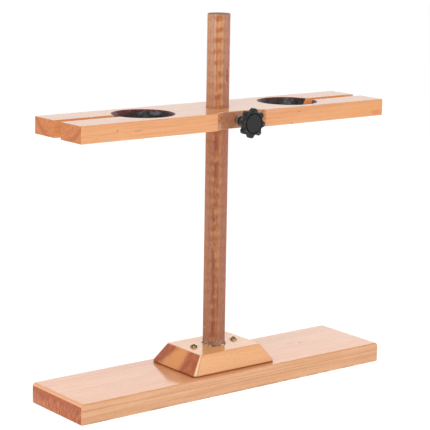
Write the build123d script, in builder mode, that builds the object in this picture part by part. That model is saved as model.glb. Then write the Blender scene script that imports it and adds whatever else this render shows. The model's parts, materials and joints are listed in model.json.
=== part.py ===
"""Wooden funnel stand: a heavy base, an upright rod and a two-place crossbar held by a star knob.

The origin is the centre of the base's underside. +Z is up, +X runs along the base and the
crossbar, and the clamp knob faces -Y. The crossbar stands at the height where it is clamped.
"""

import os
from math import cos, radians, sin

from build123d import *

# ---------------------------------------------------------------- driving dimensions, millimetres

# Base board
base_length = 300.0
base_width = 70.0
base_thickness = 16.0
base_end_round = 3.0
base_arris_round = 1.2
base_foot_round = 0.4

# Foot block, a low frustum that holds the rod
block_foot_length = 82.0
block_foot_width = 57.8
block_foot_height = 2.0
block_top_length = 60.6
block_top_width = 44.6
block_height = 15.5
block_foot_corner = 4.0
block_top_corner = 1.8
block_foot_round = 1.1
block_top_round = 0.8

# Upright rod
rod_radius = 9.0
rod_top_height = 297.5
rod_top_round = 0.8
rod_foot_gap = 0.1
block_bore_radius = 9.06

# Crossbar
bar_length = 297.0
bar_width = 63.0
bar_thickness = 13.4
bar_centre_height = 217.3
bar_arris_round = 0.6
bar_corner_round = 0.8
bar_bore_radius = 9.4
funnel_hole_offset = 71.5
funnel_hole_radius = 24.3
funnel_throat_radius = 18.3
funnel_seat_depth = 10.8
funnel_hole_chamfer = 0.3
slot_width = 9.4

# Recess in the crossbar's front face, round the clamp
recess_length = 48.0
recess_floor_length = 25.0
recess_depth = 5.0

# Screws and nuts that hold the block to the base
foot_screw_offset = 20.2
foot_screw_radius = 1.75
foot_screw_length = 30.0
foot_screw_hole_radius = 2.0
foot_head_radius = 2.95
foot_head_height = 2.2
foot_head_rim = 0.8
cross_recess_length = 3.2
cross_recess_width = 0.8
cross_recess_depth = 1.0
nut_pocket_radius = 4.8
nut_pocket_depth = 5.5
washer_radius = 4.0
washer_thickness = 0.8
nut_across_flats = 6.0
nut_thickness = 2.8
nut_bore_radius = 1.78

# Countersunk screw that holds the rod from below
rod_screw_length = 40.0
rod_screw_shank_radius = 2.25
rod_screw_thread_radius = 2.0
rod_screw_head_radius = 4.4
rod_screw_head_height = 2.6
rod_screw_sink = 0.4
rod_screw_clearance = 0.2
rod_pilot_clearance = 0.02

# Clamp screw and its threaded insert
clamp_height = 216.6
insert_radius = 3.4
insert_length = 10.0
insert_bore_radius = 2.55
stud_hole_radius = 2.8
stud_radius = 2.5
stud_tip_radius = 1.7
stud_tip_length = 1.5
stud_tip_gap = 0.1
knob_bore_radius = 2.55
knob_bore_depth = 11.0
stud_end_gap = 0.2

# Star knob
knob_face_reach = 46.3
cap_radius = 7.2
cap_thickness = 2.2
cap_stand_out = 0.4
cap_edge_round = 0.4
cap_groove = 0.75
lobe_count = 8
lobe_phase = -8.5
lobe_centre_radius = 9.2
lobe_radius = 2.45
valley_radius = 2.0
lobe_thickness = 5.0
lobe_front_round = 1.0
lobe_back_round = 0.6
neck_radius = 4.2
neck_length = 10.7
neck_round = 0.4

# ---------------------------------------------------------------- derived places

block_top_height = base_thickness + block_height
rod_foot_height = base_thickness + rod_foot_gap
bar_bottom_height = bar_centre_height - bar_thickness / 2
bar_top_height = bar_bottom_height + bar_thickness
bar_front = -bar_width / 2
recess_floor = bar_front + recess_depth
knob_front = -knob_face_reach + cap_stand_out
knob_back = knob_front + lobe_thickness
neck_back = knob_back + neck_length
screw_places = [(-foot_screw_offset, 0), (foot_screw_offset, 0)]

os.makedirs("parts", exist_ok=True)


def facing_front(reach):
    """The plane at y = reach, looking out of the crossbar's front, centred on the clamp's axis."""
    return Plane(origin=(0, reach, clamp_height), x_dir=(1, 0, 0), z_dir=(0, -1, 0))


def polar_point(radius, angle):
    """A point in a sketch at this radius and angle in degrees."""
    return radius * cos(radians(angle)), radius * sin(radians(angle))


# ---------------------------------------------------------------- base board

with BuildPart() as base_board:
    with BuildSketch(Plane.XY):
        Rectangle(base_length, base_width)
    extrude(amount=base_thickness)
    fillet(base_board.faces().sort_by(Axis.Z)[-1].edges().filter_by(Axis.Y), radius=base_end_round)
    long_sides = base_board.faces().filter_by(Axis.Y)
    side_outline = [edge for edge in long_sides.edges() if edge.center().Z > base_foot_round]
    fillet(side_outline, radius=base_arris_round)
    fillet(base_board.faces().sort_by(Axis.Z)[0].edges(), radius=base_foot_round)
    # holes for the two foot screws, with a pocket for each nut in the underside
    with BuildSketch(Plane.XY):
        with Locations(*screw_places):
            Circle(foot_screw_hole_radius)
    extrude(amount=base_thickness, mode=Mode.SUBTRACT)
    with BuildSketch(Plane.XY):
        with Locations(*screw_places):
            Circle(nut_pocket_radius)
    extrude(amount=nut_pocket_depth, mode=Mode.SUBTRACT)
    # countersunk hole for the rod's screw
    with BuildSketch(Plane.XZ):
        with BuildLine():
            hole_radius = rod_screw_shank_radius + rod_screw_clearance
            mouth_radius = rod_screw_head_radius + rod_screw_clearance
            Polyline(
                (0, 0),
                (mouth_radius, 0),
                (mouth_radius, rod_screw_sink),
                (hole_radius, rod_screw_sink + rod_screw_head_height),
                (hole_radius, base_thickness),
                (0, base_thickness),
                close=True,
            )
        make_face()
    revolve(axis=Axis.Z, mode=Mode.SUBTRACT)

base_board.part.label = "base_board"
export_step(base_board.part, "parts/base_board.step")

# ---------------------------------------------------------------- foot block

with BuildPart() as foot_block:
    # an upright foot, then sides that lean in to the top
    with BuildSketch(Plane.XY.offset(base_thickness)) as foot_outline:
        RectangleRounded(block_foot_length, block_foot_width, block_foot_corner)
    extrude(amount=block_foot_height)
    with BuildSketch(Plane.XY.offset(base_thickness + block_foot_height)):
        add(foot_outline.sketch)
    with BuildSketch(Plane.XY.offset(block_top_height)):
        RectangleRounded(block_top_length, block_top_width, block_top_corner)
    loft(ruled=True)
    fillet(foot_block.faces().sort_by(Axis.Z)[-1].edges(), radius=block_top_round)
    fillet(foot_block.faces().sort_by(Axis.Z)[0].edges(), radius=block_foot_round)
    with BuildSketch(Plane.XY.offset(base_thickness)):
        Circle(block_bore_radius)
        with Locations(*screw_places):
            Circle(foot_screw_hole_radius)
    extrude(amount=block_height, mode=Mode.SUBTRACT)

foot_block.part.label = "foot_block"
export_step(foot_block.part, "parts/foot_block.step")

# ---------------------------------------------------------------- foot screws, washers and nuts

with BuildPart() as foot_screw:
    head_apex = block_top_height + foot_head_height
    screw_end = block_top_height - foot_screw_length
    with BuildSketch(Plane.XZ):
        with BuildLine():
            Polyline(
                (0, head_apex),
                (0, screw_end),
                (foot_screw_radius, screw_end),
                (foot_screw_radius, block_top_height),
                (foot_head_radius, block_top_height),
                (foot_head_radius, block_top_height + foot_head_rim),
            )
            TangentArc(
                (0, head_apex), (foot_head_radius, block_top_height + foot_head_rim), tangent=(1, 0)
            )
        make_face()
    revolve(axis=Axis.Z)
    with BuildSketch(Plane.XY.offset(head_apex)):
        Rectangle(cross_recess_length, cross_recess_width)
        Rectangle(cross_recess_width, cross_recess_length)
    extrude(amount=-cross_recess_depth, mode=Mode.SUBTRACT)

with BuildPart() as foot_screws:
    with Locations(*screw_places):
        add(foot_screw.part)

foot_screws.part.label = "foot_screws"
export_step(foot_screws.part, "parts/foot_screws.step")

with BuildPart() as foot_washers:
    with BuildSketch(Plane.XY.offset(nut_pocket_depth - washer_thickness)):
        with Locations(*screw_places):
            Circle(washer_radius)
            Circle(foot_screw_hole_radius, mode=Mode.SUBTRACT)
    extrude(amount=washer_thickness)

foot_washers.part.label = "foot_washers"
export_step(foot_washers.part, "parts/foot_washers.step")

with BuildPart() as foot_nuts:
    with BuildSketch(Plane.XY.offset(nut_pocket_depth - washer_thickness - nut_thickness)):
        with Locations(*screw_places):
            RegularPolygon(nut_across_flats / 2, 6, major_radius=False)
            Circle(nut_bore_radius, mode=Mode.SUBTRACT)
    extrude(amount=nut_thickness)

foot_nuts.part.label = "foot_nuts"
export_step(foot_nuts.part, "parts/foot_nuts.step")

# ---------------------------------------------------------------- upright rod and its screw

with BuildPart() as rod_screw:
    with BuildSketch(Plane.XZ):
        with BuildLine():
            screw_top = rod_screw_sink + rod_screw_length
            head_top = rod_screw_sink + rod_screw_head_height
            point_length = 2 * rod_screw_thread_radius
            Polyline(
                (0, rod_screw_sink),
                (rod_screw_head_radius, rod_screw_sink),
                (rod_screw_shank_radius, head_top),
                (rod_screw_shank_radius, base_thickness),
                (rod_screw_thread_radius, rod_foot_height),
                (rod_screw_thread_radius, screw_top - point_length),
                (0, screw_top),
                close=True,
            )
        make_face()
    revolve(axis=Axis.Z)
    with BuildSketch(Plane.XY.offset(rod_screw_sink)):
        Rectangle(cross_recess_length, cross_recess_width)
        Rectangle(cross_recess_width, cross_recess_length)
    extrude(amount=cross_recess_depth, mode=Mode.SUBTRACT)

rod_screw.part.label = "rod_screw"
export_step(rod_screw.part, "parts/rod_screw.step")

with BuildPart() as upright_rod:
    with BuildSketch(Plane.XY.offset(rod_foot_height)):
        Circle(rod_radius)
    extrude(amount=rod_top_height - rod_foot_height)
    fillet(upright_rod.faces().sort_by(Axis.Z)[-1].edges(), radius=rod_top_round)
    with BuildSketch(Plane.XY.offset(rod_foot_height)):
        Circle(rod_screw_thread_radius + rod_pilot_clearance)
    extrude(amount=rod_screw_sink + rod_screw_length - rod_foot_height, mode=Mode.SUBTRACT)

upright_rod.part.label = "upright_rod"
export_step(upright_rod.part, "parts/upright_rod.step")

# ---------------------------------------------------------------- crossbar

with BuildPart() as crossbar:
    with BuildSketch(Plane.XY.offset(bar_bottom_height)):
        RectangleRounded(bar_length, bar_width, bar_corner_round)
        with BuildLine():
            floor_end = recess_floor_length / 2
            mouth_end = recess_length / 2
            Line((-floor_end, recess_floor), (floor_end, recess_floor))
            TangentArc((floor_end, recess_floor), (mouth_end, bar_front), tangent=(1, 0))
            Polyline(
                (mouth_end, bar_front),
                (mouth_end, bar_front - recess_depth),
                (-mouth_end, bar_front - recess_depth),
                (-mouth_end, bar_front),
            )
            TangentArc((-floor_end, recess_floor), (-mouth_end, bar_front), tangent=(-1, 0))
        make_face(mode=Mode.SUBTRACT)
    extrude(amount=bar_thickness)
    faces_by_height = crossbar.faces().sort_by(Axis.Z)
    outlines = faces_by_height[0].edges() + faces_by_height[-1].edges()
    fillet(outlines, radius=bar_arris_round)
    # the rod's bore, the funnel holes, and the slots that let a funnel's stem in from the end
    with BuildSketch(Plane.XY.offset(bar_bottom_height)):
        Circle(bar_bore_radius)
        for side in (-1, 1):
            with Locations((side * funnel_hole_offset, 0)):
                Circle(funnel_throat_radius)
            slot_centre = side * (funnel_hole_offset + bar_length / 2) / 2
            with Locations((slot_centre, 0)):
                Rectangle(bar_length / 2 - funnel_hole_offset, slot_width)
    extrude(amount=bar_thickness, mode=Mode.SUBTRACT)
    # the funnel holes' walls slope like the funnels' cones, down to a short straight throat
    for side in (-1, 1):
        with Locations((side * funnel_hole_offset, 0, bar_top_height - funnel_seat_depth / 2)):
            Cone(funnel_throat_radius, funnel_hole_radius, funnel_seat_depth, mode=Mode.SUBTRACT)
    arcs = crossbar.edges().filter_by(GeomType.CIRCLE)
    wide_arcs = arcs.filter_by(lambda edge: edge.radius > funnel_throat_radius - funnel_hole_chamfer)
    arcs_by_height = wide_arcs.group_by(Axis.Z)
    chamfer(arcs_by_height[0] + arcs_by_height[-1], length=funnel_hole_chamfer)
    # the clamp screw's hole, with a wider seat for the threaded insert
    with BuildSketch(facing_front(0)):
        Circle(stud_hole_radius)
    extrude(amount=-bar_front, mode=Mode.SUBTRACT)
    with BuildSketch(facing_front(recess_floor + insert_length)):
        Circle(insert_radius)
    extrude(amount=insert_length, mode=Mode.SUBTRACT)

crossbar.part.label = "crossbar"
export_step(crossbar.part, "parts/crossbar.step")

# ---------------------------------------------------------------- threaded insert and clamp stud

with BuildPart() as threaded_insert:
    with BuildSketch(facing_front(recess_floor + insert_length)):
        Circle(insert_radius)
        Circle(insert_bore_radius, mode=Mode.SUBTRACT)
    extrude(amount=insert_length)

threaded_insert.part.label = "threaded_insert"
export_step(threaded_insert.part, "parts/threaded_insert.step")

stud_tip = -rod_radius - stud_tip_gap
stud_end = neck_back - knob_bore_depth + stud_end_gap

with BuildPart() as clamp_stud:
    with BuildSketch(facing_front(stud_tip)):
        Circle(stud_tip_radius)
    extrude(amount=stud_tip_length)
    with BuildSketch(facing_front(stud_tip - stud_tip_length)):
        Circle(stud_radius)
    extrude(amount=stud_tip - stud_tip_length - stud_end)

clamp_stud.part.label = "clamp_stud"
export_step(clamp_stud.part, "parts/clamp_stud.step")

# ---------------------------------------------------------------- star knob and its cap

lobe_pitch = 360 / lobe_count
valley_centre_radius = lobe_centre_radius * cos(radians(lobe_pitch / 2)) + (
    (lobe_radius + valley_radius) ** 2 - (lobe_centre_radius * sin(radians(lobe_pitch / 2))) ** 2
) ** 0.5


def lobe_to_valley(lobe_angle, valley_angle):
    """The point where a lobe's arc runs into the arc of the valley beside it."""
    lobe = Vector(*polar_point(lobe_centre_radius, lobe_angle))
    valley = Vector(*polar_point(valley_centre_radius, valley_angle))
    return lobe + (valley - lobe).normalized() * lobe_radius


with BuildPart() as knob_body:
    with BuildSketch(facing_front(knob_back)):
        with BuildLine():
            for lobe in range(lobe_count):
                angle = lobe_phase + lobe * lobe_pitch
                before, after = angle - lobe_pitch / 2, angle + lobe_pitch / 2
                tip = polar_point(lobe_centre_radius + lobe_radius, angle)
                dip = polar_point(valley_centre_radius - valley_radius, after)
                lobe_start = lobe_to_valley(angle, before)
                lobe_end = lobe_to_valley(angle, after)
                ThreePointArc(lobe_start, tip, lobe_end)
                ThreePointArc(lobe_end, dip, lobe_to_valley(angle + lobe_pitch, after))
        make_face()
    extrude(amount=lobe_thickness)
    fillet(knob_body.faces().sort_by(Axis.Y)[0].edges(), radius=lobe_front_round)
    fillet(knob_body.faces().sort_by(Axis.Y)[-1].edges(), radius=lobe_back_round)
    with BuildSketch(facing_front(neck_back)):
        Circle(neck_radius)
    extrude(amount=neck_length)
    fillet(knob_body.faces().sort_by(Axis.Y)[-1].edges(), radius=neck_round)
    with BuildSketch(facing_front(knob_front)):
        Circle(cap_radius + cap_groove)
    extrude(amount=cap_stand_out - cap_thickness, mode=Mode.SUBTRACT)
    with BuildSketch(facing_front(neck_back)):
        Circle(knob_bore_radius)
    extrude(amount=knob_bore_depth, mode=Mode.SUBTRACT)

knob_body.part.label = "knob_body"
export_step(knob_body.part, "parts/knob_body.step")

with BuildPart() as knob_cap:
    with BuildSketch(facing_front(-knob_face_reach + cap_thickness)):
        Circle(cap_radius)
    extrude(amount=cap_thickness)
    fillet(knob_cap.faces().sort_by(Axis.Y)[0].edges(), radius=cap_edge_round)

knob_cap.part.label = "knob_cap"
export_step(knob_cap.part, "parts/knob_cap.step")
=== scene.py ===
"""Looks of the wooden funnel stand: varnished wood, brass screws, a black star knob, studio light.

Everything is in metres, in the CAD frame. The CAD nodes keep their shapes and get procedural
materials. The clamp stud is replaced by one with a real thread, and a bead of glue is added
round the rod's foot.
"""

import json
import math

import bmesh
import bpy
from mathutils import Euler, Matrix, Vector, noise


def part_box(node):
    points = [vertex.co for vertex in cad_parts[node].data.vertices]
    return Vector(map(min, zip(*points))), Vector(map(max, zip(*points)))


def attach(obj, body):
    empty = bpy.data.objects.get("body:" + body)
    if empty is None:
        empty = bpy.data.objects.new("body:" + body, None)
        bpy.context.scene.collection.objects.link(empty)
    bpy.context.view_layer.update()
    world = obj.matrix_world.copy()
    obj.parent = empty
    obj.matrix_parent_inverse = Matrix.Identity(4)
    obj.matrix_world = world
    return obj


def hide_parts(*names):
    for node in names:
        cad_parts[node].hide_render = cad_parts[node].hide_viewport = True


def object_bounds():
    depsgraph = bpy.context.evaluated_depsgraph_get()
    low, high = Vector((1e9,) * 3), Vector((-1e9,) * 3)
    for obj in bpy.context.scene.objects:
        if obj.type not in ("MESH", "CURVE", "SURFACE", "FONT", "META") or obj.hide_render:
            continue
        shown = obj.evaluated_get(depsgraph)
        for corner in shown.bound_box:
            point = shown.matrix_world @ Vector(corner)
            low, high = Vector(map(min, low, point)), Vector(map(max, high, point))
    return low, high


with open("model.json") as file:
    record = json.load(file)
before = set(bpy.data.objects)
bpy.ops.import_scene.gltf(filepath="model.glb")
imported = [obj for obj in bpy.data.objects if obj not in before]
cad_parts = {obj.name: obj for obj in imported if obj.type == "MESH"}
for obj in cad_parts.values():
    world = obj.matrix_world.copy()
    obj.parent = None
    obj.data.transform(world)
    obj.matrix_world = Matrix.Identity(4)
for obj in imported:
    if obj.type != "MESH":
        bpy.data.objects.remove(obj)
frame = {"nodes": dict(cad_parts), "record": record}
cad_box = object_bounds()

MM = 0.001
WHITE = (1.0, 1.0, 1.0, 1.0)


def mm(*values):
    """These millimetres, in metres."""
    return tuple(value * MM for value in values)


# ---------------------------------------------------------------- camera

CAMERA_AZIMUTH = math.radians(-37.92)
CAMERA_ELEVATION = math.radians(11.44)
CAMERA_ROLL = math.radians(-0.94)
CAMERA_DISTANCE = 1.3084
CAMERA_AIM = Vector((-0.0007, 0.0, 0.1374))
CAMERA_LENS = 137.48


def direction(azimuth, elevation):
    """The unit vector towards this side; azimuth 0 is the front, and angles are in radians."""
    level = math.cos(elevation)
    return Vector((math.sin(azimuth) * level, -math.cos(azimuth) * level, math.sin(elevation)))


def add_camera():
    """The viewpoint: from the front left, a little above the stand."""
    camera = bpy.data.objects.new("camera", bpy.data.cameras.new("camera"))
    camera.data.lens = CAMERA_LENS
    camera.location = CAMERA_AIM + direction(CAMERA_AZIMUTH, CAMERA_ELEVATION) * CAMERA_DISTANCE
    tilt = math.pi / 2 - CAMERA_ELEVATION
    upright = Euler((tilt, 0.0, CAMERA_AZIMUTH), "XYZ").to_quaternion()
    roll = Euler((0.0, 0.0, -CAMERA_ROLL), "XYZ").to_quaternion()
    camera.rotation_mode = "QUATERNION"
    camera.rotation_quaternion = upright @ roll
    bpy.context.scene.collection.objects.link(camera)
    bpy.context.scene.camera = camera


# ---------------------------------------------------------------- shader helper


def rgba(colour):
    """A plain colour with its alpha; a colour that another node makes stays as it is."""
    return (*colour, 1.0) if isinstance(colour, tuple) else colour


class Nodes:
    """Short calls that build shader nodes in one node tree."""

    def __init__(self, tree):
        self.tree = tree
        self.place = self.new("ShaderNodeTexCoord")

    def new(self, kind, **settings):
        node = self.tree.nodes.new(kind)
        for key, value in settings.items():
            setattr(node, key, value)
        return node

    def plug(self, value, socket):
        if isinstance(value, bpy.types.NodeSocket):
            self.tree.links.new(value, socket)
        else:
            socket.default_value = value

    def math(self, operation, a, b=0.0):
        node = self.new("ShaderNodeMath", operation=operation)
        self.plug(a, node.inputs[0])
        self.plug(b, node.inputs[1])
        return node.outputs[0]

    def total(self, *values):
        result = values[0]
        for value in values[1:]:
            result = self.math("ADD", result, value)
        return result

    def product(self, *values):
        result = values[0]
        for value in values[1:]:
            result = self.math("MULTIPLY", result, value)
        return result

    def less(self, a, b):
        return self.math("SUBTRACT", a, b)

    def either(self, a, b):
        return self.math("MAXIMUM", a, b)

    def axes(self, vector):
        node = self.new("ShaderNodeSeparateXYZ")
        self.plug(vector, node.inputs[0])
        return node.outputs[0], node.outputs[1], node.outputs[2]

    def vector(self, x, y, z):
        node = self.new("ShaderNodeCombineXYZ")
        for value, socket in zip((x, y, z), node.inputs):
            self.plug(value, socket)
        return node.outputs[0]

    def stretch(self, vector, factors):
        node = self.new("ShaderNodeVectorMath", operation="MULTIPLY")
        self.plug(vector, node.inputs[0])
        node.inputs[1].default_value = factors
        return node.outputs[0]

    def distance(self, vector, point, radii):
        """Distance from a point, in units of the ellipsoid with these radii."""
        away = self.new("ShaderNodeVectorMath", operation="SUBTRACT")
        self.plug(vector, away.inputs[0])
        away.inputs[1].default_value = point
        scaled = self.stretch(away.outputs[0], tuple(1.0 / radius for radius in radii))
        length = self.new("ShaderNodeVectorMath", operation="LENGTH")
        self.plug(scaled, length.inputs[0])
        return length.outputs["Value"]

    def noise(self, vector, scale=1.0, detail=3.0, roughness=0.5, output="Fac"):
        node = self.new("ShaderNodeTexNoise")
        self.plug(vector, node.inputs["Vector"])
        node.inputs["Scale"].default_value = scale
        node.inputs["Detail"].default_value = detail
        node.inputs["Roughness"].default_value = roughness
        return node.outputs[output]

    def cells(self, vector, scale=1.0):
        node = self.new("ShaderNodeTexVoronoi")
        self.plug(vector, node.inputs["Vector"])
        node.inputs["Scale"].default_value = scale
        return node.outputs["Distance"]

    def spread(self, value, low, high, out_low=0.0, out_high=1.0):
        """Maps low..high smoothly onto out_low..out_high, held level past both ends."""
        if low > high:
            low, high, out_low, out_high = high, low, out_high, out_low
        node = self.new("ShaderNodeMapRange", interpolation_type="SMOOTHSTEP")
        self.plug(value, node.inputs["Value"])
        node.inputs["From Min"].default_value = low
        node.inputs["From Max"].default_value = high
        node.inputs["To Min"].default_value = out_low
        node.inputs["To Max"].default_value = out_high
        return node.outputs[0]

    def hump(self, value, centre, half_width):
        """One at the centre, falling smoothly to nothing at half_width either side."""
        away = self.math("ABSOLUTE", self.less(value, centre))
        return self.spread(away, half_width, 0.0)

    def ramp(self, value, *stops):
        """A colour ramp from (position, colour) stops."""
        node = self.new("ShaderNodeValToRGB")
        self.plug(value, node.inputs[0])
        elements = node.color_ramp.elements
        while len(elements) < len(stops):
            elements.new(1.0)
        for element, (position, colour) in zip(elements, stops):
            element.position = position
            element.color = rgba(colour)
        return node.outputs[0]

    def mix(self, share, a, b, blend="MIX"):
        node = self.new("ShaderNodeMix", data_type="RGBA", blend_type=blend)
        self.plug(share, node.inputs[0])
        self.plug(rgba(a), node.inputs[6])
        self.plug(rgba(b), node.inputs[7])
        return node.outputs[2]

    def bump(self, height, distance):
        node = self.new("ShaderNodeBump")
        self.plug(height, node.inputs["Height"])
        node.inputs["Distance"].default_value = distance
        return node.outputs[0]


class Shader(Nodes):
    """A material with a Principled surface."""

    def __init__(self, name):
        self.material = bpy.data.materials.new(name)
        self.material.use_nodes = True
        super().__init__(self.material.node_tree)
        self.surface = self.tree.nodes["Principled BSDF"]
        self.point = self.place.outputs["Object"]
        self.normal = self.place.outputs["Normal"]

    def set(self, name, value):
        self.plug(value, self.surface.inputs[name])


# ---------------------------------------------------------------- light and floor

FLOOR_SIZE = 40.0
FLOOR_COLOUR = (0.58, 0.58, 0.58, 1.0)
FLOOR_GLOW = 0.69
ROOM_LEFT = 0.8
ROOM_LEVEL = 1.05
ROOM_BACK_LOW = -0.12
ROOM_BACK_HIGH = 0.66
ROOM_ROOF = 0.2


def add_area_light(name, azimuth, elevation, distance, size, power):
    """A soft square lamp that looks at the stand's middle from this side, angles in degrees."""
    lamp = bpy.data.lights.new(name, "AREA")
    lamp.size = size
    lamp.energy = power
    light = bpy.data.objects.new(name, lamp)
    middle = (cad_box[0] + cad_box[1]) / 2
    back = direction(math.radians(azimuth), math.radians(elevation))
    light.location = middle + back * distance
    light.rotation_mode = "QUATERNION"
    light.rotation_quaternion = (-back).to_track_quat("-Z", "Y")
    bpy.context.scene.collection.objects.link(light)


def add_room():
    """A white room, brightest behind, dimmer to the left and overhead; the camera sees plain white."""
    world = bpy.data.worlds.new("white_room")
    world.use_nodes = True
    room = Nodes(world.node_tree)
    across, depth, up = room.axes(room.place.outputs["Generated"])
    rise = room.spread(up, 0.1, 0.3, ROOM_BACK_LOW, ROOM_BACK_HIGH)
    behind = room.product(room.spread(depth, -0.1, 0.5), rise)
    dimming = room.spread(across, -0.9, 0.2, ROOM_LEFT, 1.0)
    walls = room.product(room.total(behind, ROOM_LEVEL), dimming)
    roof = room.spread(up, 0.42, 0.75)
    level = room.total(room.product(walls, room.less(1.0, roof)), room.product(roof, ROOM_ROOF))
    seen = room.new("ShaderNodeLightPath").outputs["Is Camera Ray"]
    background = world.node_tree.nodes["Background"]
    background.inputs["Color"].default_value = WHITE
    room.plug(room.either(seen, level), background.inputs["Strength"])
    bpy.context.scene.world = world
    bpy.context.scene.view_settings.view_transform = "Standard"


def add_floor():
    """A white table top, lit from below as product tables are, so shadows stay faint."""
    bpy.ops.mesh.primitive_plane_add(size=FLOOR_SIZE)
    floor = bpy.context.object
    floor.name = "floor"
    paint = Shader("floor_paint")
    paint.set("Base Color", FLOOR_COLOUR)
    paint.set("Roughness", 1.0)
    paint.set("Specular IOR Level", 0.0)
    paint.set("Emission Color", WHITE)
    paint.set("Emission Strength", FLOOR_GLOW)
    floor.data.materials.append(paint.material)


def add_studio():
    add_room()
    add_floor()
    add_area_light("overhead", azimuth=-45.0, elevation=68.0, distance=1.3, size=0.7, power=5.4)
    add_area_light("fill", azimuth=30.0, elevation=15.0, distance=1.8, size=0.9, power=2.4)


# ---------------------------------------------------------------- wood

# How fast each pattern changes: features per metre along the grain, then across it twice.
GROUND_PATCHES = (9.0, 60.0, 60.0)
RING_DRIFT = (5.0, 45.0, 45.0)
RING_PATCHES = (14.0, 90.0, 90.0)
SOFT_STREAKS = (9.0, 380.0, 380.0)
FINE_FIBRES = (60.0, 1900.0, 1900.0)
PORE_SPACING = (210.0, 1500.0, 1500.0)
MARK_RAGS = (500.0, 1100.0, 1100.0)
VARNISH_WAVES = (60.0, 160.0, 160.0)

GRAIN_RELIEF = 0.03 * MM
VARNISH_RELIEF = 0.05 * MM
VARNISH_IOR = 1.5
SOAKED_COAT = 0.3


class Wood(Shader):
    """Varnished wood cut from a log whose pith runs beside or in the piece.

    Its colours are those of the late-wood lines and of the pores. Each call below adds one layer
    over what is there.
    """

    def __init__(self, name, lines, pores, along="X"):
        super().__init__(name)
        self.line_colour = lines
        self.pore_colour = pores
        self.x, self.y, self.z = self.axes(self.point)
        self.nx, self.ny, self.nz = self.axes(self.normal)
        if along == "X":
            self.length, self.side, self.height = self.x, self.y, self.z
            self.end_normal = self.nx
        else:
            self.length, self.side, self.height = self.z, self.x, self.y
            self.end_normal = self.nz
        self.grain = self.vector(self.length, self.side, self.height)

    def pattern(self, factors, detail, roughness=0.5):
        """Noise drawn out along the grain."""
        return self.noise(self.stretch(self.grain, factors), detail=detail, roughness=roughness)

    def speckle(self, factors, detail, roughness=0.5):
        """Noise stretched along X, Y and Z, whatever way the grain runs."""
        return self.noise(self.stretch(self.point, factors), detail=detail, roughness=roughness)

    def front(self):
        """One on the faces that look to the front."""
        return self.spread(self.ny, -0.8, -0.95)

    def tint(self, share, colour, blend="MIX"):
        self.colour = self.mix(share, self.colour, colour, blend)

    def ground(self, light, deep):
        """Broad patches of two colours, drawn out along the grain."""
        patches = self.pattern(GROUND_PATCHES, detail=4.0)
        self.colour = self.mix(self.spread(patches, 0.32, 0.68), light, deep)

    def rings(self, pith, rise, width, share, sway=2.5 * MM):
        """Year rings round the pith, which climbs by rise per metre: thin late-wood lines."""
        drift = self.noise(self.stretch(self.grain, RING_DRIFT), detail=2.0, output="Color")
        sways = self.axes(drift)
        squares = []
        for place, centre, swaying in zip((self.side, self.height), pith, sways):
            off_centre = self.less(place, centre)
            swayed = self.product(self.less(swaying, 0.5), 2 * sway)
            moved = self.total(off_centre, swayed, self.product(self.length, rise))
            squares.append(self.product(moved, moved))
        self.radius = self.math("SQRT", self.total(*squares))
        year = self.math("FRACT", self.math("DIVIDE", self.radius, width))
        self.late = self.product(self.spread(year, 0.5, 0.9), self.spread(year, 1.0, 0.92))
        patches = self.spread(self.pattern(RING_PATCHES, detail=2.0), 0.3, 0.65, 0.35, 1.0)
        faint_on_top = self.spread(self.nz, 0.8, 0.98, 1.0, 0.35)
        self.tint(self.product(self.late, patches, faint_on_top, share), self.line_colour)

    def fibres(self, streaks, pores, fine=0.2):
        """Soft streaks, fine fibres and short dark pores along the grain."""
        soft = self.pattern(SOFT_STREAKS, detail=4.0, roughness=0.6)
        self.fine = self.pattern(FINE_FIBRES, detail=2.0)
        gaps = self.cells(self.stretch(self.grain, PORE_SPACING))
        self.pores = self.spread(gaps, 0.3, 0.14)
        self.tint(self.product(self.spread(soft, 0.48, 0.72), streaks), self.line_colour)
        self.tint(self.product(self.spread(self.fine, 0.4, 0.75), fine), self.line_colour)
        self.tint(self.product(self.pores, pores), self.pore_colour)

    def end_grain(self, deep, pale, low=0.6, high=0.93, upright=420.0, contrast=0.16):
        """The sawn ends soak up the varnish: speckled, darker and redder, with faint rings.

        An end begins where the end's normal passes from low to high. The specks change upright
        times per metre along the height.
        """
        self.is_end = self.spread(self.math("ABSOLUTE", self.end_normal), low, high)
        leaning = self.total(self.side, self.product(self.height, 0.2))
        place = self.stretch(self.vector(self.length, leaning, self.height), (300.0, 900.0, upright))
        speck = self.noise(place, detail=3.0, roughness=0.65)
        speckled = self.mix(self.spread(speck, 0.5 - contrast, 0.5 + contrast), deep, pale)
        self.tint(self.is_end, self.mix(self.product(self.late, 0.35), speckled, deep))

    def mark(self, place, radii, colour, share, ragged=0.6):
        """A small knot, nick or stain at this place."""
        away = self.distance(self.point, place, radii)
        ragging = self.pattern(MARK_RAGS, detail=2.0)
        away = self.total(away, self.product(self.less(ragging, 0.5), ragged))
        self.tint(self.product(self.spread(away, 1.0, 0.35), share), colour)

    def coat(self, soaked):
        """How much clear coat is left: less where the wood soaked it up."""
        return self.spread(soaked, 0.0, 1.0, 1.0, SOAKED_COAT)

    def varnish(self, coat, roughness, specular=0.12):
        """The last layer: a clear coat over the fine relief of the fibres and pores."""
        relief = self.less(self.fine, self.pores)
        self.set("Normal", self.bump(relief, GRAIN_RELIEF))
        self.set("Roughness", self.spread(self.fine, 0.3, 0.7, 0.5, 0.65))
        self.set("Specular IOR Level", specular)
        self.set("Coat Weight", coat)
        self.set("Coat Roughness", roughness)
        self.set("Coat IOR", VARNISH_IOR)
        self.set("Base Color", self.colour)

    def brush_waves(self):
        """The faint unevenness of the coat itself."""
        self.set("Coat Normal", self.bump(self.pattern(VARNISH_WAVES, detail=2.0), VARNISH_RELIEF))


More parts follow.
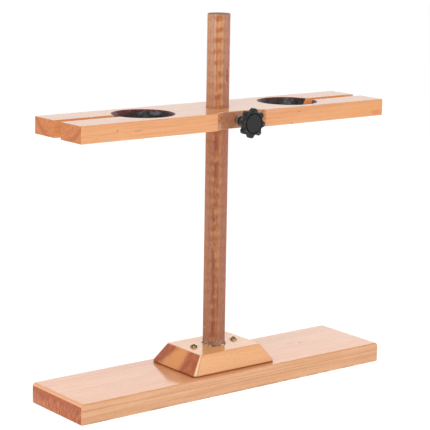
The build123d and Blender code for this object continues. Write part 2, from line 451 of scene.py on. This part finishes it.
DARK_KNOT_AND_SHADOW = (0.16, 0.05, 0.045)
BROWN_MARK = (0.34, 0.10, 0.04)
SCRATCH = (0.60, 0.36, 0.10)
BOTTOM_DARK = (0.16, 0.06, 0.03)

BASE_LINE = (0.46, 0.17, 0.07)
BASE_LINE_HALF_WIDTH = 0.6 * MM
# Height and share of the two dark lines along the base's front.
BASE_LINES = ((10.4 * MM, 0.5), (5.2 * MM, 0.22))


def base_front(wood):
    """A less red front with two long dark lines, and a painted highlight on the rounded top edge at each
    end.
    """
    front = wood.front()
    wood.tint(front, (0.87, 0.98, 1.08), "MULTIPLY")
    wander = wood.pattern((7.0, 20.0, 20.0), detail=2.0)
    level = wood.total(wood.z, wood.product(wood.less(wander, 0.5), 3 * MM))
    for height, share in BASE_LINES:
        line = wood.product(wood.hump(level, height, BASE_LINE_HALF_WIDTH), front, share)
        wood.tint(line, BASE_LINE)
    # Painted highlight: a light orange band on the rounded edges between the top and each end.
    sideways = wood.spread(wood.math("ABSOLUTE", wood.nx), 0.05, 0.3)
    painted_end_highlight = wood.product(sideways, wood.spread(wood.nz, 0.1, 0.3), 0.85)
    wood.tint(painted_end_highlight, (1.0, 0.47, 0.21))


def base_ends(wood, low, high):
    """The sawn ends: redder at the top, paler low down at the back."""
    wood.end_grain((0.36, 0.075, 0.03), (0.72, 0.25, 0.10), low=0.93, high=0.995, upright=170.0)
    red_zone = wood.product(wood.is_end, wood.spread(wood.z, high.z - 9 * MM, high.z - 5 * MM), 0.45)
    wood.tint(red_zone, (0.42, 0.095, 0.04))
    pale_zone = wood.product(wood.is_end, wood.spread(wood.z, low.z + 7 * MM, low.z + 2 * MM))
    pale_zone = wood.product(pale_zone, wood.spread(wood.y, 0.0, high.y), 0.5)
    wood.tint(pale_zone, (0.70, 0.28, 0.15))


def base_marks(wood, top):
    """A knot with its dark grain on the right, a stain and an arc-shaped scratch on the left."""
    wood.mark((94.6 * MM, 2.6 * MM, top), mm(2.4, 1.5, 2), DARK_KNOT_AND_SHADOW, 0.8)
    wood.mark((86 * MM, 6 * MM, top), mm(10, 1.6, 2), DARK_KNOT_AND_SHADOW, 0.3)
    wood.mark((99 * MM, 2.3 * MM, top), mm(5, 1, 2), DARK_KNOT_AND_SHADOW, 0.35)
    wood.mark((-133 * MM, -7 * MM, top), mm(6, 0.9, 2), BROWN_MARK, 0.25)
    ring = wood.distance(wood.point, (-112 * MM, -10 * MM, top), mm(12, 12, 30))
    arc = wood.product(wood.hump(ring, 1.0, 0.08), wood.spread(wood.x, -110 * MM, -104 * MM), 0.45)
    wood.tint(arc, SCRATCH)


def base_wood():
    """The pith runs just inside the front lower edge, so the rings arch over it."""
    wood = Wood("base_wood", lines=(0.54, 0.20, 0.07), pores=(0.46, 0.12, 0.05))
    low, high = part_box("base_board")
    wood.ground((0.90, 0.44, 0.215), (0.84, 0.385, 0.165))
    wood.rings((low.y + 6 * MM, low.z + 2 * MM), rise=0.004, width=4.1 * MM, share=0.42)
    wood.fibres(streaks=0.22, pores=0.34)
    base_front(wood)
    base_ends(wood, low, high)
    base_marks(wood, high.z)
    # Darker in ragged patches towards the bottom edge.
    bottom_mottle = wood.spread(wood.pattern((120.0, 300.0, 300.0), detail=3.0), 0.42, 0.6)
    wood.tint(wood.product(wood.spread(wood.z, 1.6 * MM, 0.1 * MM), bottom_mottle, 0.6), BOTTOM_DARK)
    wood.varnish(wood.coat(wood.is_end), roughness=0.13)
    wood.brush_waves()
    return wood.material


def block_wood():
    """Slanting dark bands show on the two end faces; a painted highlight runs down the front-left corner
    edge and a painted shadow along the foot.
    """
    wood = Wood("block_wood", lines=(0.60, 0.24, 0.08), pores=(0.50, 0.14, 0.05))
    low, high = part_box("foot_block")
    wood.ground((0.91, 0.46, 0.19), (0.85, 0.41, 0.155))
    wood.rings(mm(-6, 78), rise=0.02, width=13 * MM, share=0.2, sway=4 * MM)
    wood.fibres(streaks=0.15, pores=0.4)
    streak = wood.speckle((300.0, 300.0, 70.0), detail=3.0)
    ragged = wood.product(wood.less(streak, 0.5), 6 * MM)
    slant = wood.total(wood.y, wood.product(wood.z, 0.83), ragged)
    rear = wood.spread(slant, high.z - 3 * MM, high.z + 5 * MM)
    front = wood.spread(wood.total(wood.y, ragged), -4 * MM, -11 * MM)
    zones = wood.product(wood.either(rear, front), wood.spread(streak, 0.3, 0.6, 0.75, 1.0))
    ends = wood.spread(wood.math("ABSOLUTE", wood.nx), 0.55, 0.75)
    wood.tint(ends, wood.mix(zones, (0.87, 0.36, 0.125), (0.47, 0.115, 0.038)))
    # Painted highlight: a pale peach band down the rounded front-left corner edge.
    painted_arris_highlight = wood.product(wood.spread(wood.nx, -0.28, -0.42), wood.spread(wood.ny, -0.42, -0.56), 0.85)
    wood.tint(painted_arris_highlight, (1.0, 0.72, 0.50))
    # Painted shadow: a dark red-brown line along the block's foot, where it meets the base.
    painted_foot_shadow = wood.product(wood.spread(wood.z, low.z + 1.7 * MM, low.z + 0.8 * MM), 0.85)
    wood.tint(painted_foot_shadow, (0.27, 0.06, 0.02))
    wood.varnish(wood.coat(ends), roughness=0.1)
    wood.brush_waves()
    return wood.material


# A funnel hole narrows from its rim at the bar's top to a straight throat, over this depth.
RIM_RADIUS = 24.3 * MM
SEAT_DEPTH = 10.8 * MM
# The lacquer covers the top this far past the rim, and is gone at LACQUER_END.
LACQUER_EDGE = 0.25 * MM
LACQUER_END = 0.5 * MM
LACQUER = (0.012, 0.012, 0.013)
LACQUER_COAT = 0.4
LACQUER_DUST_AND_SHEEN = (0.15, 0.145, 0.16)
THIN_LACQUER = (0.15, 0.026, 0.028)
BARE_SPECKS = (0.32, 0.13, 0.10)


def seat_walls(wood, high):
    """One on the sloping walls of the two funnel holes and in their throats."""
    ragging = wood.noise(wood.point, scale=420.0, detail=2.0)
    ragged = wood.product(wood.less(ragging, 0.5), 0.4 * MM)
    climbed = wood.either(wood.less(wood.z, high.z - SEAT_DEPTH), 0.0)
    masks = []
    for mount in frame["record"]["mounts"]:
        if mount["kind"] != "bore":
            continue
        throat_radius = mount["dims"]["r_mm"] * MM
        slope = (RIM_RADIUS - throat_radius) / SEAT_DEPTH
        wall = wood.total(wood.product(climbed, slope), throat_radius)
        away = wood.distance(wood.point, mount["pos_m"], (1.0, 1.0, 1000.0))
        past_wall = wood.less(wood.total(away, ragged), wall)
        masks.append(wood.spread(past_wall, LACQUER_END, LACQUER_EDGE))
    return wood.either(*masks)


def lacquer(wood, black, high):
    """Black lacquer in the funnel holes, worn to dark red near the left rim, with grey mottle that is
    partly dust and partly painted reflection, and one painted shine.
    """
    patchy = wood.speckle((260.0, 260.0, 420.0), detail=3.0, roughness=0.65)
    near_rim = wood.spread(wood.z, high.z - 4.5 * MM, high.z - 1.5 * MM)
    left = wood.spread(wood.x, -60 * MM, -72 * MM, 0.1, 1.0)
    thin = wood.product(near_rim, left, wood.spread(patchy, 0.32, 0.54))
    rim = wood.product(wood.spread(wood.z, high.z - 1.5 * MM, high.z - 0.6 * MM), 0.85)
    worn = wood.mix(wood.spread(patchy, 0.6, 0.75), THIN_LACQUER, BARE_SPECKS)
    # Grey mottle on the glossy lacquer, partly dust and partly painted reflection, stronger in the right
    # hole; the shine is a painted reflection in the left hole.
    dust_sheen_mottle = wood.speckle((300.0, 300.0, 260.0), detail=4.0, roughness=0.6)
    shine_place = (-52 * MM, 12.2 * MM, high.z - 2.2 * MM)
    shine = wood.spread(wood.distance(wood.point, shine_place, mm(6.5, 8, 2.8)), 1.0, 0.3)
    dust_sheen_rightward = wood.spread(wood.x, -20 * MM, 20 * MM, 0.12, 0.26)
    dust_and_sheen = wood.product(wood.spread(dust_sheen_mottle, 0.36, 0.62), wood.total(dust_sheen_rightward, shine))
    wall = wood.mix(wood.math("MINIMUM", dust_and_sheen, 1.0), LACQUER, LACQUER_DUST_AND_SHEEN)
    wood.tint(black, wood.mix(wood.either(thin, rim), wall, worn))


def bar_marks(wood, low, high):
    """Small knots and stains on the bar's front, and a red stain at the right end's lower edge."""
    middle = (low.z + high.z) / 2
    wood.mark((-99 * MM, low.y, middle - 0.5 * MM), mm(6, 1.5, 0.9), BROWN_MARK, 0.3)
    wood.mark((-116.7 * MM, low.y, middle + 0.8 * MM), mm(0.8, 1.5, 1.2), BROWN_MARK, 0.8)
    wood.mark((58 * MM, low.y, high.z - 4 * MM), mm(1.4, 1.5, 0.6), BROWN_MARK, 0.7)
    wood.mark((50 * MM, low.y, low.z + 0.5 * MM), mm(1.2, 1.5, 0.8), DARK_KNOT_AND_SHADOW, 0.7)
    stain = (0.68, 0.17, 0.05)
    wood.mark((142 * MM, low.y, low.z + 3 * MM), mm(9, 4, 3), stain, 0.5, ragged=1.4)


def clamp_recess(wood, low):
    """The walls of the recess round the clamp were cut across the grain: darker and rough. Its floor by
    the knob gets painted shade.
    """
    near_clamp = wood.spread(wood.math("ABSOLUTE", wood.x), 25 * MM, 24 * MM)
    inside = wood.spread(wood.y, low.y + 0.2 * MM, low.y + 1.6 * MM)
    facing = wood.spread(wood.ny, -0.6, -0.8)
    cut_grain = wood.speckle((380.0, 500.0, 420.0), detail=3.0, roughness=0.65)
    cut_grain_and_shade = wood.mix(wood.spread(cut_grain, 0.35, 0.65), (0.40, 0.115, 0.04), (0.74, 0.30, 0.11))
    # Painted shade: the recess floor is darkened to a pinkish brown.
    painted_floor_shade = wood.product(wood.spread(wood.y, low.y + 4.2 * MM, low.y + 4.9 * MM), 0.7)
    cut_grain_and_shade = wood.mix(painted_floor_shade, cut_grain_and_shade, (0.42, 0.18, 0.11))
    wood.tint(wood.product(near_clamp, inside, facing, 0.85), cut_grain_and_shade)


def bar_wood():
    """The pith runs above the bar, so its end grain curves down at both edges."""
    wood = Wood("bar_wood", lines=(0.58, 0.19, 0.055), pores=(0.58, 0.165, 0.045))
    low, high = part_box("crossbar")
    wood.ground((0.82, 0.395, 0.17), (0.78, 0.345, 0.135))
    wood.rings((0.0, high.z + 26.5 * MM), rise=-0.012, width=2.6 * MM, share=0.19)
    wood.fibres(streaks=0.4, pores=0.34)
    wood.end_grain((0.56, 0.165, 0.05), (0.80, 0.30, 0.105), contrast=0.24)
    band = wood.product(wood.is_end, wood.hump(wood.radius, 39.9 * MM, 2.6 * MM), 0.5)
    wood.tint(band, (0.40, 0.10, 0.035))
    ruddy = wood.product(wood.spread(wood.x, 60 * MM, 145 * MM), wood.front(), 0.6)
    wood.tint(ruddy, (0.76, 0.32, 0.095))
    bar_marks(wood, low, high)
    clamp_recess(wood, low)
    black = seat_walls(wood, high)
    lacquer(wood, black, high)
    # Painted shadow: a small dark spot on the bar's top at the rod's left edge, where the gap round the
    # rod shows dark.
    wood.mark((-7.6 * MM, 5.9 * MM, high.z), mm(1.3, 1.3, 1.5), DARK_KNOT_AND_SHADOW, 0.9)
    coat = wood.product(wood.coat(wood.is_end), wood.spread(black, 0.0, 1.0, 1.0, LACQUER_COAT))
    wood.varnish(coat, roughness=0.1)
    brushed = wood.speckle((220.0, 220.0, 260.0), detail=2.0, roughness=0.55)
    wood.set("Coat Normal", wood.bump(wood.product(brushed, black), 0.8 * MM))
    return wood.material


# The bands of the rod lie square to this level direction, which points right and to the front, across
# the camera's view; they are the wood's layers with painted reflection streaks among them.
BANDS_X = 0.79
BANDS_Y = -0.61
BANDS_HALF_WIDTH = 9.5 * MM
CURL_PITCH = 8.7 * MM
GLUE_REACH = 6.5 * MM
NICK_HEIGHTS = (253.2 * MM, 249.2 * MM, 246.0 * MM)


def rod_bands_and_sheen(wood):
    """Straight bands of different colours, the wood's layers with painted reflection streaks among them;
    gives the place across them, from the rod's middle.
    """
    wobble = wood.pattern(GROUND_PATCHES, detail=3.0)
    across = wood.total(wood.product(wood.x, BANDS_X), wood.product(wood.y, BANDS_Y))
    across = wood.total(across, wood.product(wood.less(wobble, 0.5), 3.5 * MM))
    # Painted reflections among the wood's layers: the pale pink stop at 0.30 and the pinkish-grey stops
    # from 0.84 on stand for lamp streaks on the varnish.
    wood.colour = wood.ramp(
        wood.spread(across, -BANDS_HALF_WIDTH, BANDS_HALF_WIDTH),
        (0.00, (0.64, 0.33, 0.185)),
        (0.14, (0.66, 0.35, 0.20)),
        (0.24, (0.60, 0.31, 0.22)),
        (0.30, (0.76, 0.43, 0.31)),
        (0.38, (0.56, 0.24, 0.115)),
        (0.50, (0.67, 0.30, 0.13)),
        (0.62, (0.60, 0.265, 0.11)),
        (0.72, (0.66, 0.37, 0.22)),
        (0.84, (0.48, 0.235, 0.17)),
        (1.00, (0.47, 0.22, 0.165)),
    )
    return across


def rod_curl(wood, across, blotch):
    """Dark and glowing bands that cross the middle layers, as in curly wood."""
    drift = wood.pattern((30.0, 70.0, 70.0), detail=2.0)
    phase = wood.total(wood.product(wood.z, 2 * math.pi / CURL_PITCH), wood.product(drift, 6.0))
    wave = wood.math("SINE", phase)
    middle = wood.hump(across, -0.3 * MM, 6.5 * MM)
    reach = wood.spread(middle, 0.0, 1.0, 0.35, 1.0)
    curl = wood.product(wood.spread(wave, -0.6, 0.8), wood.spread(blotch, 0.34, 0.56), reach, 0.8)
    wood.tint(curl, (0.44, 0.125, 0.035))
    glow = wood.product(wood.spread(wave, 0.2, -0.9), wood.spread(blotch, 0.45, 0.62), reach, 0.5)
    wood.tint(glow, (0.80, 0.38, 0.14))


def rod_flecks_and_bar_shadow(wood, across, blotch):
    """Pale flecks all along; below the crossbar a painted shadow of the bar darkens and browns the rod,
    with mottled figure there.
    """
    mottle = wood.pattern((300.0, 900.0, 900.0), detail=2.0)
    bar_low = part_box("crossbar")[0].z
    below = wood.spread(wood.z, bar_low + 6 * MM, bar_low - 16 * MM)
    pale = wood.product(wood.spread(mottle, 0.5, 0.75), wood.less(0.3, wood.product(below, 0.12)))
    wood.tint(pale, (0.80, 0.50, 0.32))
    # Painted shadow of the crossbar: the rod below it is darkened and browned.
    wood.tint(below, (0.80, 0.73, 0.73), "MULTIPLY")
    wood.tint(wood.product(below, 0.4), (0.44, 0.19, 0.105))
    ochre = wood.product(wood.hump(across, 1.5 * MM, 4.5 * MM), wood.spread(blotch, 0.48, 0.62), below)
    wood.tint(wood.product(ochre, 0.28), (0.60, 0.33, 0.12))
    dark_mottle = wood.product(wood.spread(mottle, 0.48, 0.3), below, 0.4)
    wood.tint(dark_mottle, (0.26, 0.08, 0.04))
    core = wood.product(wood.hump(across, -1.0 * MM, 3.2 * MM), wood.spread(blotch, 0.62, 0.42), below)
    wood.tint(wood.product(core, 0.75), (0.27, 0.07, 0.04))


def rod_foot(wood, across):
    """A dark streak low on the rod, and a smear of glue round its foot."""
    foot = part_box("foot_block")[1].z
    low_streak = wood.product(wood.hump(wood.z, foot + 35 * MM, 34 * MM), 0.6)
    wood.tint(wood.product(wood.hump(across, 2.6 * MM, 1.4 * MM), low_streak), (0.20, 0.05, 0.03))
    smear = wood.speckle((400.0, 400.0, 250.0), detail=3.0)
    ragged = wood.total(wood.z, wood.product(wood.less(smear, 0.5), 5 * MM))
    glue_colour = wood.mix(wood.spread(smear, 0.4, 0.6), (0.30, 0.18, 0.13), (0.52, 0.36, 0.27))
    glued = wood.product(wood.spread(ragged, foot + GLUE_REACH, foot + 3.5 * MM), 0.65)
    wood.tint(glued, glue_colour)


def rod_wood():
    """Straight bands across the rod, wood layers with painted reflection streaks, and a curly figure in
    the middle ones.
    """
    wood = Wood("rod_wood", lines=(0.30, 0.115, 0.05), pores=(0.38, 0.16, 0.08), along="Z")
    across = rod_bands_and_sheen(wood)
    blotch = wood.pattern((120.0, 190.0, 190.0), detail=3.0, roughness=0.6)
    rod_curl(wood, across, blotch)
    wood.fibres(streaks=0.45, pores=0.4, fine=0.3)
    rod_flecks_and_bar_shadow(wood, across, blotch)
    rod_foot(wood, across)
    wood.tint(wood.spread(wood.nz, 0.3, 0.8), (0.265, 0.135, 0.115))
    for height in NICK_HEIGHTS:
        wood.mark((2.2 * MM, -8.7 * MM, height), mm(1.3, 1.2, 2.2), DARK_KNOT_AND_SHADOW, 0.8)
    wood.mark(mm(-5.7, -6.6, 114.7), mm(1.6, 1.0, 1.0), DARK_KNOT_AND_SHADOW, 0.45)
    wood.mark(mm(-8.6, 1.5, 46), mm(0.8, 0.8, 0.9), (0.8, 0.75, 0.65), 0.8)
    bare_top = wood.spread(wood.nz, 0.2, 0.7, 0.13, 0.0)
    wood.varnish(bare_top, roughness=0.3, specular=0.06)
    wood.brush_waves()
    return wood.material


# ---------------------------------------------------------------- metal, plastic and glue


def aged_brass():
    """Antique brass plate: dark olive with bright cream patches, partly worn-bright brass and partly
    painted highlights.
    """
    brass = Shader("screw_brass")
    patches = brass.noise(brass.point, scale=900.0, detail=3.0)
    # Partly painted highlights: random cream patches over the dark olive.
    rubbed_and_glinting = brass.spread(patches, 0.45, 0.62)
    brass.set("Base Color", brass.mix(rubbed_and_glinting, (0.20, 0.155, 0.085), (0.78, 0.66, 0.42)))
    brass.set("Metallic", 1.0)
    brass.set("Roughness", brass.spread(patches, 0.3, 0.7, 0.22, 0.42))
    brass.set("Normal", brass.bump(patches, 0.05 * MM))
    return brass.material


def plated_steel(name, colour, smoothest, roughest):
    """Plated or plain steel: a fine crystalline mottle."""
    steel = Shader(name)
    mottle = steel.noise(steel.point, scale=1500.0, detail=4.0)
    deeper = tuple(0.72 * value for value in colour)
    steel.set("Base Color", steel.mix(steel.spread(mottle, 0.35, 0.65), deeper, colour))
    steel.set("Metallic", 1.0)
    steel.set("Roughness", steel.spread(mottle, 0.3, 0.7, smoothest, roughest))
    steel.set("Normal", steel.bump(mottle, 0.02 * MM))
    return steel.material


def black_plastic(name, colour, smoothest, roughest, grain, dusting=0.0):
    """Moulded black plastic with a fine texture, paler scuffs and, if dusting, specks of dust."""
    plastic = Shader(name)
    texture = plastic.noise(plastic.point, scale=2600.0, detail=3.0)
    scuffs = plastic.noise(plastic.stretch(plastic.point, (500.0, 500.0, 900.0)), detail=4.0)
    paler = tuple(2.2 * value for value in colour)
    share = plastic.product(plastic.spread(scuffs, 0.58, 0.75), 0.6)
    scuffed = plastic.mix(share, colour, paler)
    clumps = plastic.noise(plastic.point, scale=230.0, detail=2.0)
    dust_and_sheen = plastic.spread(plastic.cells(plastic.point, scale=620.0), 0.26, 0.12)
    dust_and_sheen = plastic.product(dust_and_sheen, plastic.spread(clumps, 0.5, 0.6), dusting)
    plastic.set("Base Color", plastic.mix(dust_and_sheen, scuffed, (0.55, 0.53, 0.50)))
    plastic.set("Roughness", plastic.spread(scuffs, 0.35, 0.65, smoothest, roughest))
    plastic.set("Specular IOR Level", 0.32)
    plastic.set("Normal", plastic.bump(texture, grain))
    return plastic.material


def dried_glue():
    """Yellowish glue with brown wood dust in it."""
    glue = Shader("dried_glue")
    patches = glue.noise(glue.point, scale=420.0, detail=3.0)
    colour = glue.ramp(
        patches,
        (0.40, (0.14, 0.055, 0.03)),
        (0.52, (0.36, 0.19, 0.10)),
        (0.62, (0.85, 0.72, 0.50)),
    )
    glue.set("Base Color", colour)
    glue.set("Roughness", glue.spread(patches, 0.3, 0.7, 0.5, 0.25))
    glue.set("Normal", glue.bump(patches, 0.1 * MM))
    return glue.material


# ---------------------------------------------------------------- meshes


def skin(name, rows, closed, material, body):
    """A piece made of rows of points, each row a loop.

    If closed, the last row joins the first, as in a ring. Otherwise both ends are capped.
    """
    mesh = bmesh.new()
    loops = [[mesh.verts.new(point) for point in row] for row in rows]
    pairs = list(zip(loops, loops[1:]))
    if closed:
        pairs.append((loops[-1], loops[0]))
    else:
        mesh.faces.new(loops[0])
        mesh.faces.new(loops[-1])
    for near, far in pairs:
        for i in range(len(near)):
            mesh.faces.new((near[i - 1], near[i], far[i], far[i - 1]))
    bmesh.ops.recalc_face_normals(mesh, faces=mesh.faces)
    data = bpy.data.meshes.new(name)
    mesh.to_mesh(data)
    mesh.free()
    data.shade_smooth()
    data.materials.append(material)
    piece = bpy.data.objects.new(name, data)
    bpy.context.scene.collection.objects.link(piece)
    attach(piece, body)
    return piece


THREAD_PITCH = 0.8 * MM
THREAD_DEPTH = 0.42 * MM
VALLEY_SLOPE = 2.6
THREAD_SIDES = 32
STEPS_PER_TURN = 8
POINT_LENGTH = 1.5 * MM
POINT_STEP = 0.8 * MM
POINT_EDGE = 0.3 * MM


def threaded_stud():
    """The clamp stud with its M5 thread, and the plain point that presses on the rod."""
    low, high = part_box("clamp_stud")
    centre = (low + high) / 2
    crest = (high.x - low.x) / 2
    point = crest - POINT_STEP
    thread_end = high.y - POINT_LENGTH
    steps = round((thread_end - low.y) / THREAD_PITCH * STEPS_PER_TURN)

    def row(y, radius_at):
        points = []
        for side in range(THREAD_SIDES):
            angle = 2 * math.pi * side / THREAD_SIDES
            radius = radius_at(angle)
            points.append((centre.x + radius * math.cos(angle), y, centre.z + radius * math.sin(angle)))
        return points

    def threaded(y, fade):
        def radius_at(angle):
            turn = (y / THREAD_PITCH + angle / (2 * math.pi)) % 1.0
            valley = max(0.0, 1.0 - abs(turn - 0.5) * VALLEY_SLOPE)
            return crest - THREAD_DEPTH * valley * fade - POINT_STEP * (1.0 - fade)
        return radius_at

    rows = []
    for step in range(steps + 1):
        y = low.y + (thread_end - low.y) * step / steps
        fade = min(1.0, (steps - step) / STEPS_PER_TURN)
        rows.append(row(y, threaded(y, fade)))
    rows.append(row(high.y - POINT_EDGE, lambda angle: point))
    rows.append(row(high.y, lambda angle: point - POINT_EDGE))
    steel = plated_steel("stud_steel", (0.32, 0.28, 0.25), smoothest=0.4, roughest=0.55)
    stud = skin("stud_thread", rows, closed=False, material=steel, body="stud")
    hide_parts("clamp_stud")


BEAD_SIDES = 96
BEAD_RING = 10
# In millimetres, before the bead swells and shrinks.
BEAD_WIDTH = 0.75
BEAD_HEIGHT = 0.9
BEAD_GAP = 0.03 * MM
BEAD_SINK = 0.05 * MM
SWELL_PLACE = Vector((3.1, 7.7, 1.3))
RAGGED_PLACE = Vector((5.0, 1.0, 2.0))


def glue_bead():
    """The uneven bead of glue where the rod enters the foot block."""
    low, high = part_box("upright_rod")
    inner = (high.x - low.x) / 2 + BEAD_GAP
    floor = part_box("foot_block")[1].z - BEAD_SINK
    rows = []
    for side in range(BEAD_SIDES):
        angle = 2 * math.pi * side / BEAD_SIDES
        out = Vector((math.cos(angle), math.sin(angle), 0.0))
        swell = noise.noise(out * 2.7 + SWELL_PLACE)
        ragged = noise.noise(out * 9.0 + RAGGED_PLACE)
        width = (BEAD_WIDTH + 0.35 * swell + 0.2 * ragged) * MM
        height = (BEAD_HEIGHT + 0.45 * swell + 0.25 * ragged) * MM
        row = []
        for step in range(BEAD_RING):
            turn = 2 * math.pi * step / BEAD_RING
            reach = inner + width * 0.5 * (1 - math.cos(turn))
            lift = floor + height * max(0.0, math.sin(turn))
            row.append(out * reach + Vector((0.0, 0.0, lift)))
        rows.append(row)
    skin("glue_bead", rows, closed=True, material=dried_glue(), body="stand")


# ---------------------------------------------------------------- the stand


def dress(node, material):
    """Gives a CAD node its material."""
    mesh = frame["nodes"][node].data
    mesh.materials.clear()
    mesh.materials.append(material)


dress("base_board", base_wood())
dress("foot_block", block_wood())
dress("crossbar", bar_wood())
dress("upright_rod", rod_wood())
dress("foot_screws", aged_brass())
zinc = plated_steel("zinc_steel", (0.60, 0.60, 0.58), smoothest=0.25, roughest=0.45)
for node in ("foot_washers", "foot_nuts", "rod_screw"):
    dress(node, zinc)
dress("threaded_insert", plated_steel("insert_metal", (0.50, 0.47, 0.40), smoothest=0.3, roughest=0.5))
knob_plastic = black_plastic(
    "knob_plastic",
    (0.010, 0.010, 0.011),
    smoothest=0.28,
    roughest=0.45,
    grain=0.03 * MM,
    dusting=0.6,
)
dress("knob_body", knob_plastic)
cap_plastic = black_plastic(
    "cap_plastic",
    (0.014, 0.014, 0.014),
    smoothest=0.5,
    roughest=0.65,
    grain=0.015 * MM,
)
dress("knob_cap", cap_plastic)

threaded_stud()
glue_bead()
add_studio()
add_camera()
